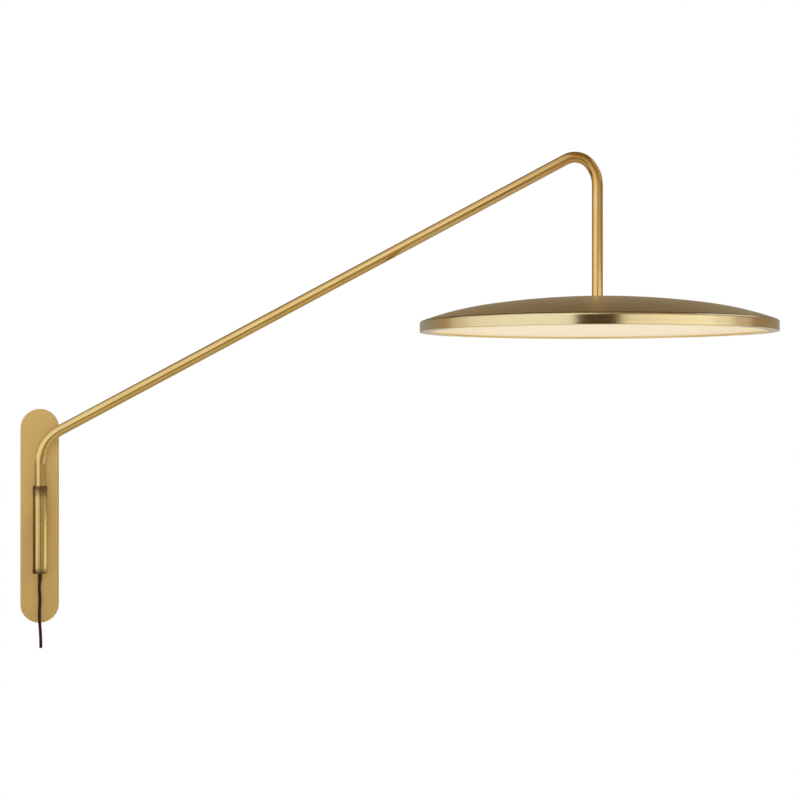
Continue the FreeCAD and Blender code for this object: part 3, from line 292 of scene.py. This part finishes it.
route = [(across, CORD_DEPTH, up) for across, up in CORD_ROUTE]
line = bpy.data.curves.new("hanging_cord", "CURVE")
line.dimensions = "3D"
line.resolution_u = 16
line.bevel_depth = CORD_DIAMETER / 2
line.bevel_resolution = 6
line.use_fill_caps = True
spline = line.splines.new("NURBS")
spline.points.add(len(route) - 1)
for point, spot in zip(spline.points, route):
    point.co = (*spot, 1)
spline.order_u = 3
spline.use_endpoint_u = True
hanging_cord = bpy.data.objects.new("hanging_cord", line)
bpy.context.scene.collection.objects.link(hanging_cord)

finish, place = new_finish("woven_sleeve")
facing = place.node("TexCoord", {}, {}, "Normal")
facing_x = facing.node("SeparateXYZ", {}, {"Vector": facing}, "X")
facing_y = facing.node("SeparateXYZ", {}, {"Vector": facing}, "Y")
turn = facing.node("Math", {"operation": "ARCTAN2"}, {0: facing_y, 1: facing_x})
climb = place.node("SeparateXYZ", {}, {"Vector": place}, "Z") * (2 * math.pi / WEAVE_PITCH)
left_strands = turn.node("Math", {"operation": "SINE"}, {0: STRANDS_ROUND * turn + climb})
right_strands = turn.node("Math", {"operation": "SINE"}, {0: STRANDS_ROUND * turn - climb})
weave = 0.5 + 0.5 * left_strands * right_strands
sleeve = place.node("BsdfPrincipled", {}, {
    "Base Color": colour_between(weave, CORD_DARK, CORD_BROWN),
    "Roughness": 0.72 - 0.14 * weave,
    "Normal": raised(weave, WEAVE_DEPTH),
    "Specular IOR Level": 0.08,
})
dress(finish, sleeve, "supply_cord", "cord_tail", "arm_lead")
line.materials.append(finish)
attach(hanging_cord, "wall_mount")
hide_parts("supply_cord")

# Cord bush: a tapered strain relief of dark brown rubber, moulded round the cord and held in the
# end plug.
RUBBER = (0.046, 0.017, 0.006, 1)
RUBBER_DUSTY = (0.070, 0.030, 0.011, 1)
finish, place = new_finish("bush_rubber")
dust = rising(blotches(place, 3 * MM), 0.45, 0.75)
rubber = place.node("BsdfPrincipled", {}, {
    "Base Color": colour_between(dust, RUBBER, RUBBER_DUSTY),
    "Roughness": 0.52 + 0.16 * dust,
    "Normal": raised(blotches(place, 0.5 * MM), 40 * MICRON),
    "Specular IOR Level": 0.10,
})
dress(finish, rubber, "cord_bush")

# Arm: one brass tube bent twice, polished and lacquered. Its foot stands in the barrel. The metal
# turns a little redder towards the shade. The upper bend is painted darker orange as painted shade.
RED_BRASS = (0.57, 0.390, 0.160, 1)
RED_BRASS_DULL = (0.53, 0.348, 0.128, 1)
POLISHED = (1500.0, 1500.0, 1500.0)
POLISH_DEPTH = 2 * MICRON
BEND_PAINTED_SHADE = (0.46, 0.26, 0.07, 1)
BEND_REACH = 55 * MM
BEND_INSET = (21 * MM, 11 * MM, 14 * MM)
RED_REACH = (150 * MM, 700 * MM)
finish, place = new_finish("arm_brass")
arm_low, arm_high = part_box("arm_tube")
upper_bend = (
    arm_high[0] - BEND_INSET[0], arm_low[1] + BEND_INSET[1], arm_high[2] - BEND_INSET[2],
)
from_bend = place.node("VectorMath", {"operation": "DISTANCE"}, {0: place, 1: upper_bend}, "Value")
# The upper bend's darker orange is painted shade.
bend_painted_shade = 0.8 * (1 - rising(from_bend, 0.25 * BEND_REACH, BEND_REACH))
to_foot = rising(from_bend, *RED_REACH)
arm_clean = colour_between(to_foot, RED_BRASS, BRASS)
arm_dull = colour_between(to_foot, RED_BRASS_DULL, BRASS_DULL)
arm_tones = [arm_clean, arm_dull, BEND_PAINTED_SHADE]
arm_brass = satin_brass(place, arm_tones, POLISHED, POLISH_DEPTH, bend_painted_shade, 0.17, 0.1)
dress(finish, arm_brass, "arm_tube")

# Shade: a shallow dome with an upright rim, spun from brass sheet on a lathe. The spinning leaves
# fine rings about its middle. The dome is duller than the rim, and its lighter, yellower tone is
# painted light. The turn between them is painted brown as painted shade.
SHADE_BRASS = (0.575, 0.488, 0.290, 1)
DOME_PAINTED_LIGHT = (0.64, 0.51, 0.26, 1)
TURN_PAINTED_SHADE = (0.16, 0.085, 0.025, 1)
TURN_INNER = 4.2 * MM
TURN_OUTER = 0.7 * MM
DOME_EDGE = (3 * MM, 0.5 * MM)
RING_WIDTH = 0.8 * MM
RING_DEPTH = 6 * MICRON
BAND_WIDTH = 18 * MM
shade_low, shade_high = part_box("shade_shell")
shade_middle = (0.5 * (shade_low[0] + shade_high[0]), 0.5 * (shade_low[1] + shade_high[1]), 0)
shade_radius = 0.5 * (shade_high[0] - shade_low[0])


def from_middle(place):
    """How far a place on the shade lies from the shade's upright axis."""
    flat = stretched(place, (1, 1, 0))
    return flat.node("VectorMath", {"operation": "DISTANCE"}, {0: flat, 1: shade_middle}, "Value")


finish, place = new_finish("spun_shade_brass")
radius = from_middle(place)
height = place.node("SeparateXYZ", {}, {"Vector": place}, "Z")
across_rings = place.node("CombineXYZ", {}, {"X": radius, "Y": 0.0, "Z": height})
rings = blotches(across_rings, RING_WIDTH, 3.0)
bands = blotches(across_rings, BAND_WIDTH)
dull = rising(blotches(place, 90 * MM), 0.35, 0.75)
on_dome = 1 - rising(radius, shade_radius - DOME_EDGE[0], shade_radius - DOME_EDGE[1])
# The brown turn between dome and rim is painted shade for the dark line there.
inner_side = rising(radius, shade_radius - TURN_INNER, shade_radius - 0.7 * TURN_INNER)
outer_side = rising(radius, shade_radius - 2 * TURN_OUTER, shade_radius - TURN_OUTER)
# The dome's lighter, yellower tone is painted light.
clean = colour_between(on_dome * (0.75 + 0.5 * bands), SHADE_BRASS, DOME_PAINTED_LIGHT)
shade_metal = place.node("BsdfPrincipled", {}, {
    "Base Color": colour_between(inner_side - outer_side, clean, TURN_PAINTED_SHADE),
    "Metallic": 1.0,
    "Roughness": 0.20 + 0.10 * (rings - 0.5) + 0.04 * dull + 0.20 * on_dome,
    "Normal": raised(rings, RING_DEPTH),
    "Coat Weight": 0.15 + 0.60 * on_dome,
    "Coat Roughness": 0.30,
})
dress(finish, shade_metal, "shade_shell")

# Hub, pillars and tray: machined aluminium. The hub clamps the shade to the arm, and the tray
# hangs under it on four pillars and takes the light panel's heat.
ALUMINIUM = (0.76, 0.76, 0.77, 1)
ALUMINIUM_GREY = (0.62, 0.62, 0.64, 1)
CUTTER_LINES = (1500.0, 40.0, 1500.0)
finish, place = new_finish("tray_aluminium")
cutting = blotches(stretched(place, CUTTER_LINES), 1.0)
stained = rising(blotches(place, 30 * MM), 0.4, 0.8)
aluminium = place.node("BsdfPrincipled", {}, {
    "Base Color": colour_between(stained, ALUMINIUM, ALUMINIUM_GREY),
    "Metallic": 1.0,
    "Roughness": 0.34 + 0.14 * cutting,
    "Normal": raised(cutting, 10 * MICRON),
})
dress(finish, aluminium, "shade_hub", "tray_pillars", "led_tray")

# Light strip: a white flexible circuit round the edge of the light guide, with small yellow light
# chips soldered along it.
STRIP_WHITE = (0.84, 0.83, 0.79, 1)
STRIP_TRACK = (0.74, 0.70, 0.60, 1)
CHIP_YELLOW = (0.90, 0.72, 0.22, 1)
CHIP_ORANGE = (0.82, 0.52, 0.10, 1)
finish, place = new_finish("strip_circuit")
tracks = rising(blotches(place, 4 * MM), 0.52, 0.58)
strip = place.node("BsdfPrincipled", {}, {
    "Base Color": colour_between(tracks, STRIP_WHITE, STRIP_TRACK),
    "Roughness": 0.46 + 0.10 * tracks,
    "Normal": raised(tracks, 30 * MICRON),
})
dress(finish, strip, "led_strip")

finish, place = new_finish("light_chip")
gel = blotches(place, 1.2 * MM)
chip = place.node("BsdfPrincipled", {}, {
    "Base Color": colour_between(gel, CHIP_YELLOW, CHIP_ORANGE),
    "Roughness": 0.28 + 0.12 * gel,
    "Normal": raised(gel, 50 * MICRON),
})
dress(finish, chip, "led_chips")

# Light guide: a clear acrylic disc, lit from its edge, with a fine pattern of pits that let the
# light out downwards.
ACRYLIC = (0.90, 0.92, 0.92, 1)
ACRYLIC_PITTED = (0.96, 0.96, 0.94, 1)
ACRYLIC_IOR = 1.49
PITS_PER_METRE = 900.0
finish, place = new_finish("pitted_acrylic")
pits = place.node("TexVoronoi", {}, {"Vector": place, "Scale": PITS_PER_METRE}, "Distance")
guide = place.node("BsdfPrincipled", {}, {
    "Base Color": colour_between(pits, ACRYLIC_PITTED, ACRYLIC),
    "Roughness": 0.10 + 0.20 * pits,
    "Normal": raised(pits, 40 * MICRON),
    "IOR": ACRYLIC_IOR,
    "Transmission Weight": 0.6,
})
dress(finish, guide, "light_guide")

# Diffuser: an opal acrylic disc that glows warm white all over, a little weaker and yellower
# towards its edge. It rests on the bezel.
GLOW = (0.75, 0.635, 0.45, 1)
GLOW_EDGE = (0.69, 0.55, 0.35, 1)
OPAL = (0.25, 0.225, 0.18, 1)
OPAL_EDGE = (0.23, 0.20, 0.15, 1)
finish, place = new_finish("lit_opal")
edge = rising(from_middle(place), 0.55 * shade_radius, shade_radius)
frosting = blotches(place, 0.6 * MM)
lit_opal = place.node("BsdfPrincipled", {}, {
    "Base Color": colour_between(edge, OPAL, OPAL_EDGE),
    "Roughness": 0.62 + 0.12 * frosting,
    "Normal": raised(frosting, 10 * MICRON),
    "Specular IOR Level": 0.0,
    "Emission Color": colour_between(edge, GLOW, GLOW_EDGE),
    "Emission Strength": 1.0,
})
dress(finish, lit_opal, "diffuser")

# Bezel and its screws: a flat turned brass ring that closes the rim and holds the diffuser up.
# Its tone is painted paler than the shade's, as painted reflection of the glowing diffuser. Six
# countersunk brass screws fix it to the tray from below.
BEZEL_PAINTED_PALE_BRASS = (0.80, 0.67, 0.41, 1)
BEZEL_PAINTED_PALE_BRASS_DULL = (0.74, 0.59, 0.34, 1)
WHITE = (1, 1, 1, 1)
finish, place = new_finish("bezel_brass")
stains = 0.1 * blotches(place, 30 * MM)
# The bezel's pale tone is painted reflection of the glowing diffuser.
bezel_tones = [BEZEL_PAINTED_PALE_BRASS, BEZEL_PAINTED_PALE_BRASS_DULL, BRASS_BROWN]
bezel_brass = satin_brass(place, bezel_tones, BRUSHED_FINE, FINE_DEPTH, stains, 0.13, 0.1, WHITE)
dress(finish, bezel_brass, "bezel_ring", "bezel_screws")

# Driver: a white moulded tub with a lid pushed into it, screwed to the tray by two ears. Inside
# are a green circuit board and its black and grey components.
DRIVER_WHITE = (0.80, 0.80, 0.78, 1)
DRIVER_GREY = (0.72, 0.72, 0.71, 1)
BOARD_GREEN = (0.045, 0.24, 0.10, 1)
BOARD_TRACK = (0.075, 0.33, 0.15, 1)
COMPONENT = (0.030, 0.030, 0.032, 1)
COMPONENT_GREY = (0.075, 0.075, 0.080, 1)
finish, place = new_finish("driver_moulding")
grain = blotches(place, 0.8 * MM)
moulding = place.node("BsdfPrincipled", {}, {
    "Base Color": colour_between(blotches(place, 20 * MM), DRIVER_WHITE, DRIVER_GREY),
    "Roughness": 0.50 + 0.14 * grain,
    "Normal": raised(grain, 50 * MICRON),
})
dress(finish, moulding, "driver_case", "driver_cover")

finish, place = new_finish("circuit_board")
tracks = rising(blotches(place, 3 * MM), 0.50, 0.54)
board = place.node("BsdfPrincipled", {}, {
    "Base Color": colour_between(tracks, BOARD_GREEN, BOARD_TRACK),
    "Roughness": 0.36 + 0.10 * tracks,
    "Normal": raised(tracks, 40 * MICRON),
})
dress(finish, board, "driver_board")

finish, place = new_finish("component_cases")
grain = blotches(place, 0.7 * MM)
cases = place.node("BsdfPrincipled", {}, {
    "Base Color": colour_between(blotches(place, 4 * MM), COMPONENT, COMPONENT_GREY),
    "Roughness": 0.34 + 0.16 * grain,
    "Normal": raised(grain, 30 * MICRON),
})
dress(finish, cases, "driver_components")

# Leads of the light strip: two thin wires in soft red plastic. They run from the driver along the
# tray and down to the strip, and are soldered to it.
WIRE_RED = (0.50, 0.05, 0.04, 1)
WIRE_RED_DARK = (0.36, 0.03, 0.03, 1)
finish, place = new_finish("red_wire")
grain = blotches(place, 2 * MM)
wire = place.node("BsdfPrincipled", {}, {
    "Base Color": colour_between(grain, WIRE_RED, WIRE_RED_DARK),
    "Roughness": 0.42 + 0.12 * grain,
    "Normal": raised(grain, 20 * MICRON),
})
dress(finish, wire, "led_leads")

# Floor: a plain pale studio floor well below the lamp, which is held up at the wall. It turns white
# towards its edges, where it meets the white studio.
FLOOR_PALE = (0.84, 0.84, 0.83, 1)
FLOOR_WHITENESS = 0.6
FLOOR_FADE = (0.8, 3.2)
FLOOR_HEIGHT = -1.75
FLOOR_MIDDLE = (0.4, -0.4, 0)
FLOOR_CORNERS = [(-3.6, -4.0), (4.4, -4.0), (4.4, 3.2), (-3.6, 3.2)]


def studio_sheet(name, corners, leaves):
    """A sheet of the studio, flat or folded, which isn't part of the lamp."""
    mesh = bpy.data.meshes.new(name)
    mesh.from_pydata(corners, [], leaves)
    sheet = bpy.data.objects.new(name, mesh)
    bpy.context.scene.collection.objects.link(sheet)
    return sheet


floor = studio_sheet("floor", [(*spot, FLOOR_HEIGHT) for spot in FLOOR_CORNERS], [range(4)])
finish, place = new_finish("pale_floor")
flat = stretched(place, (1, 1, 0))
outward = flat.node("VectorMath", {"operation": "DISTANCE"}, {0: flat, 1: FLOOR_MIDDLE}, "Value")
whiter = FLOOR_WHITENESS + (1 - FLOOR_WHITENESS) * rising(outward, *FLOOR_FADE)
seen = place.node("LightPath", {}, {}, "Is Camera Ray")
pale = place.node("BsdfPrincipled", {}, {"Base Color": FLOOR_PALE, "Roughness": 0.8})
white = place.node("Emission", {}, {"Color": WHITE, "Strength": 1.0})
fading = place.node("MixShader", {}, {0: seen * whiter, 1: pale, 2: white})
fading.node("OutputMaterial", {}, {"Surface": fading})
floor.data.materials.append(finish)

# Soft boxes: panels of even white light. A tall one stands to the left, with a strip beyond it, one
# hangs in front above the camera and one over the shade, and low strips run round the right side.
BOX_BRIGHTNESS = 0.42
STRIP_BRIGHTNESS = 1.42
TOP_BOX_PLACE = (0.70, -0.25, 2.20)


def soft_box(name, first, second, low, high, brightness):
    """An upright panel from one place of the plan to another, lit on its left-hand side."""
    lamp = bpy.data.lights.new(name, "AREA")
    lamp.shape = "RECTANGLE"
    lamp.size = math.dist(first, second)
    lamp.size_y = high - low
    lamp.energy = brightness * math.pi * lamp.size * lamp.size_y
    panel = bpy.data.objects.new(name, lamp)
    panel.location = [0.5 * (start + end) for start, end in zip((*first, low), (*second, high))]
    turned = math.atan2(second[1] - first[1], second[0] - first[0])
    panel.rotation_euler = (math.radians(90), 0, turned)
    panel.visible_camera = False
    bpy.context.scene.collection.objects.link(panel)
    return panel


soft_box("left_box", (-1.90, -0.30), (-0.60, -2.22), 0.10, 2.10, BOX_BRIGHTNESS)
soft_box("low_left_box", (-1.90, -0.30), (-0.60, -2.22), -0.34, 0.10, 0.75 * BOX_BRIGHTNESS)
soft_box("front_box", (-1.10, -2.35), (0.05, -2.35), 0.75, 2.40, BOX_BRIGHTNESS)
soft_box("left_strip", (-1.70, 0.35), (-1.90, -0.30), 0.17, 0.95, BOX_BRIGHTNESS)
soft_box("right_strip", (0.474, -2.545), (2.15, -1.362), 0.17, 0.44, STRIP_BRIGHTNESS)
soft_box("right_strip_middle", (2.15, -1.362), (2.55, -1.00), 0.17, 0.44, 0.72 * STRIP_BRIGHTNESS)
soft_box("right_strip_end", (2.55, -1.00), (2.95, -0.40), 0.17, 0.44, 0.35 * STRIP_BRIGHTNESS)
soft_box("low_right_strip", (2.75, -0.70), (3.05, 0.30), -0.55, -0.17, 0.30)
top_box = soft_box("top_box", (0.0, -0.3), (1.4, -0.3), 1.50, 2.70, 0.5 * BOX_BRIGHTNESS)
# The top box is laid flat, lit side down.
top_box.location = TOP_BOX_PLACE
top_box.rotation_euler = (0, 0, 0)

# Cards: pale, brown and dark screens that only the metal mirrors, as a photographer sets them.
# They give the tubes their dark line and edges, the rim its dark notch and ends, the dome its
# bronze tone and the bezel its gold.


def mirrored_only(screen, colour, one_sided=False):
    """Give a studio sheet one even tone that only reflections show. It doesn't act as a lamp."""
    material, place = new_finish(screen.name)
    tone = place.node("Emission", {}, {"Color": (*colour, 1), "Strength": 1.0})
    if one_sided:
        behind = place.node("NewGeometry", {}, {}, "Backfacing")
        clear = place.node("BsdfTransparent", {}, {})
        tone = place.node("MixShader", {}, {0: behind, 1: tone, 2: clear})
    tone.node("OutputMaterial", {}, {"Surface": tone})
    material.cycles.emission_sampling = "NONE"
    screen.data.materials.append(material)
    screen.visible_camera = False
    screen.visible_diffuse = False
    screen.visible_transmission = False
    screen.visible_shadow = False


def card(name, plan, low, high, colour):
    """A folding screen that stands along places of the plan."""
    corners = [(*spot, level) for spot in plan for level in (low, high)]
    leaves = [(2 * n, 2 * n + 2, 2 * n + 3, 2 * n + 1) for n in range(len(plan) - 1)]
    mirrored_only(studio_sheet(name, corners, leaves), colour)


UNDER_ARM_HEIGHT = 0.30
UNDER_ARM_CORNERS = [(0.47, -0.28), (0.72, -0.46), (0.82, -0.40), (0.82, -0.12), (0.47, -0.13)]
corners = [(*spot, UNDER_ARM_HEIGHT) for spot in UNDER_ARM_CORNERS]
under_arm = studio_sheet("under_arm_card", corners, [range(5)])
mirrored_only(under_arm, (0.82, 0.78, 0.72), one_sided=True)
SLOPING_CORNERS = [
    (0.22, -0.10, -0.012), (0.22, 0.17, -0.012), (1.40, 1.14, -0.307), (1.40, -0.46, -0.307),
]
sloping = studio_sheet("sloping_card", SLOPING_CORNERS, [range(4)])
mirrored_only(sloping, (1.35, 1.30, 1.20), one_sided=True)
FLOOR_CARD_HEIGHT = -0.745
LEVEL_CARDS = {
    "far_floor_card": (FLOOR_CARD_HEIGHT, (-1.1, -2.60), (3.0, -1.45), (0.38, 0.30, 0.12)),
    "middle_floor_card": (FLOOR_CARD_HEIGHT, (-0.6, -1.45), (3.0, -0.35), (0.90, 0.79, 0.56)),
    "near_floor_card": (FLOOR_CARD_HEIGHT, (-0.6, -0.35), (3.0, 0.7), (0.68, 0.60, 0.42)),
    "edge_card": (2.4, (-1.4, 0.35), (0.1, 1.8), (0.55, 0.42, 0.14)),
    "ceiling_card": (3.0, (-0.8, 0.5), (2.2, 2.6), (0.13, 0.085, 0.035)),
    "over_bend_card": (2.5, (-0.02, -2.30), (2.4, 0.45), (0.32, 0.21, 0.12)),
}
for name, (level, (left, front), (right, back), colour) in LEVEL_CARDS.items():
    plan = [(left, front), (right, front), (right, back), (left, back)]
    corners = [(*spot, level) for spot in plan]
    mirrored_only(studio_sheet(name, corners, [range(4)]), colour)
card("notch_card", [(0.514, -0.570), (0.629, -0.612)], 0.210, 0.300, (0.078, 0.038, 0.008))
card("dark_card", [(0.10, -2.55), (0.72, -2.55)], -0.45, 0.02, (0.20, 0.155, 0.075))
LOW_LEFT_PLAN = [(-1.50, -1.60), (-0.75, -2.50), (-0.45, -2.60)]
card("low_left_card", LOW_LEFT_PLAN, -0.74, -0.29, (0.26, 0.19, 0.07))
card("low_card", [(-0.45, -2.60), (0.72, -2.60)], -0.74, -0.60, (0.38, 0.30, 0.12))
card("front_card", [(-0.45, -2.60), (0.00, -2.65)], -0.60, 0.78, (0.88, 0.79, 0.62))
card("middle_card", [(0.00, -2.65), (0.45, -2.70)], -0.60, 0.28, (0.88, 0.79, 0.62))
card("over_middle_card", [(0.00, -2.65), (0.45, -2.70)], 0.28, 0.78, (0.50, 0.41, 0.22))
card("bend_card", [(-0.02, -2.30), (1.00, -2.28), (2.30, -1.60)], 0.98, 2.50, (0.50, 0.37, 0.24))
card("over_strip_card", [(0.95, -2.21), (1.75, -1.645)], 0.44, 1.00, (0.80, 0.69, 0.50))
card("right_card", [(0.45, -2.70), (1.60, -2.90), (3.40, -1.20)], -0.74, 1.15, (0.52, 0.455, 0.32))
card("side_card", [(3.40, -1.20), (3.50, 0.40)], -0.17, 1.15, (0.45, 0.31, 0.18))
card("right_turn_card", [(3.44, 0.36), (2.70, 1.56)], 0.20, 0.80, (0.40, 0.32, 0.22))
card("barrel_card", [(-1.55, -0.55), (-1.30, 1.60)], -0.74, -0.04, (0.15, 0.075, 0.012))
card("upright_card", [(-1.55, -0.55), (-1.30, 1.60)], -0.04, 0.14, (0.62, 0.52, 0.30))
card("arm_edge_card", [(-0.95, 2.05), (-0.15, 2.20)], 0.90, 2.60, (0.72, 0.53, 0.26))
card("left_gap_card", [(-1.70, 0.36), (-1.50, 1.05)], 0.05, 0.80, (1.12, 0.95, 0.80))
card("left_back_card", [(-1.50, 1.05), (-1.138, 1.603)], 0.05, 0.80, (0.56, 0.42, 0.27))
card("left_turn_card", [(-1.138, 1.603), (-0.698, 1.838)], 0.05, 0.80, (0.46, 0.39, 0.28))
card("ring_card", [(1.10, 2.04), (1.70, 1.94), (1.87, 1.87)], -0.40, 0.21, (0.92, 0.79, 0.52))
BACK_PLAN = [(-1.45, 1.20), (-1.40, 1.60), (0.70, 2.60), (2.80, 1.60), (3.50, 0.40)]
card("low_back_card", BACK_PLAN, -0.30, 0.22, (0.50, 0.46, 0.40))
card("back_card", BACK_PLAN, 0.22, 0.80, (0.40, 0.38, 0.345))
card("middle_back_card", BACK_PLAN, 0.80, 1.70, (0.32, 0.255, 0.175))
card("high_back_card", BACK_PLAN[1:4], 1.70, 4.20, (0.15, 0.105, 0.07))

# Studio air: white wherever the camera looks past the lamp or the metal mirrors it, and a gentle
# even light on everything else.
EVEN_LIGHT = 0.75
world = bpy.data.worlds.new("white_studio")
bpy.context.scene.world = world
world.use_nodes = True
world.node_tree.nodes.clear()
sky = Wire(world.node_tree)
seen = sky.node("LightPath", {}, {}, "Is Camera Ray")
mirrored = sky.node("LightPath", {}, {}, "Is Glossy Ray")
through = sky.node("LightPath", {}, {}, "Is Transmission Ray")
white = rising(seen + mirrored + through, 0.0, 1.0)
brightness = EVEN_LIGHT + (1 - EVEN_LIGHT) * white
air = sky.node("Background", {}, {"Color": WHITE, "Strength": brightness})
sky.node("OutputWorld", {}, {"Surface": air})
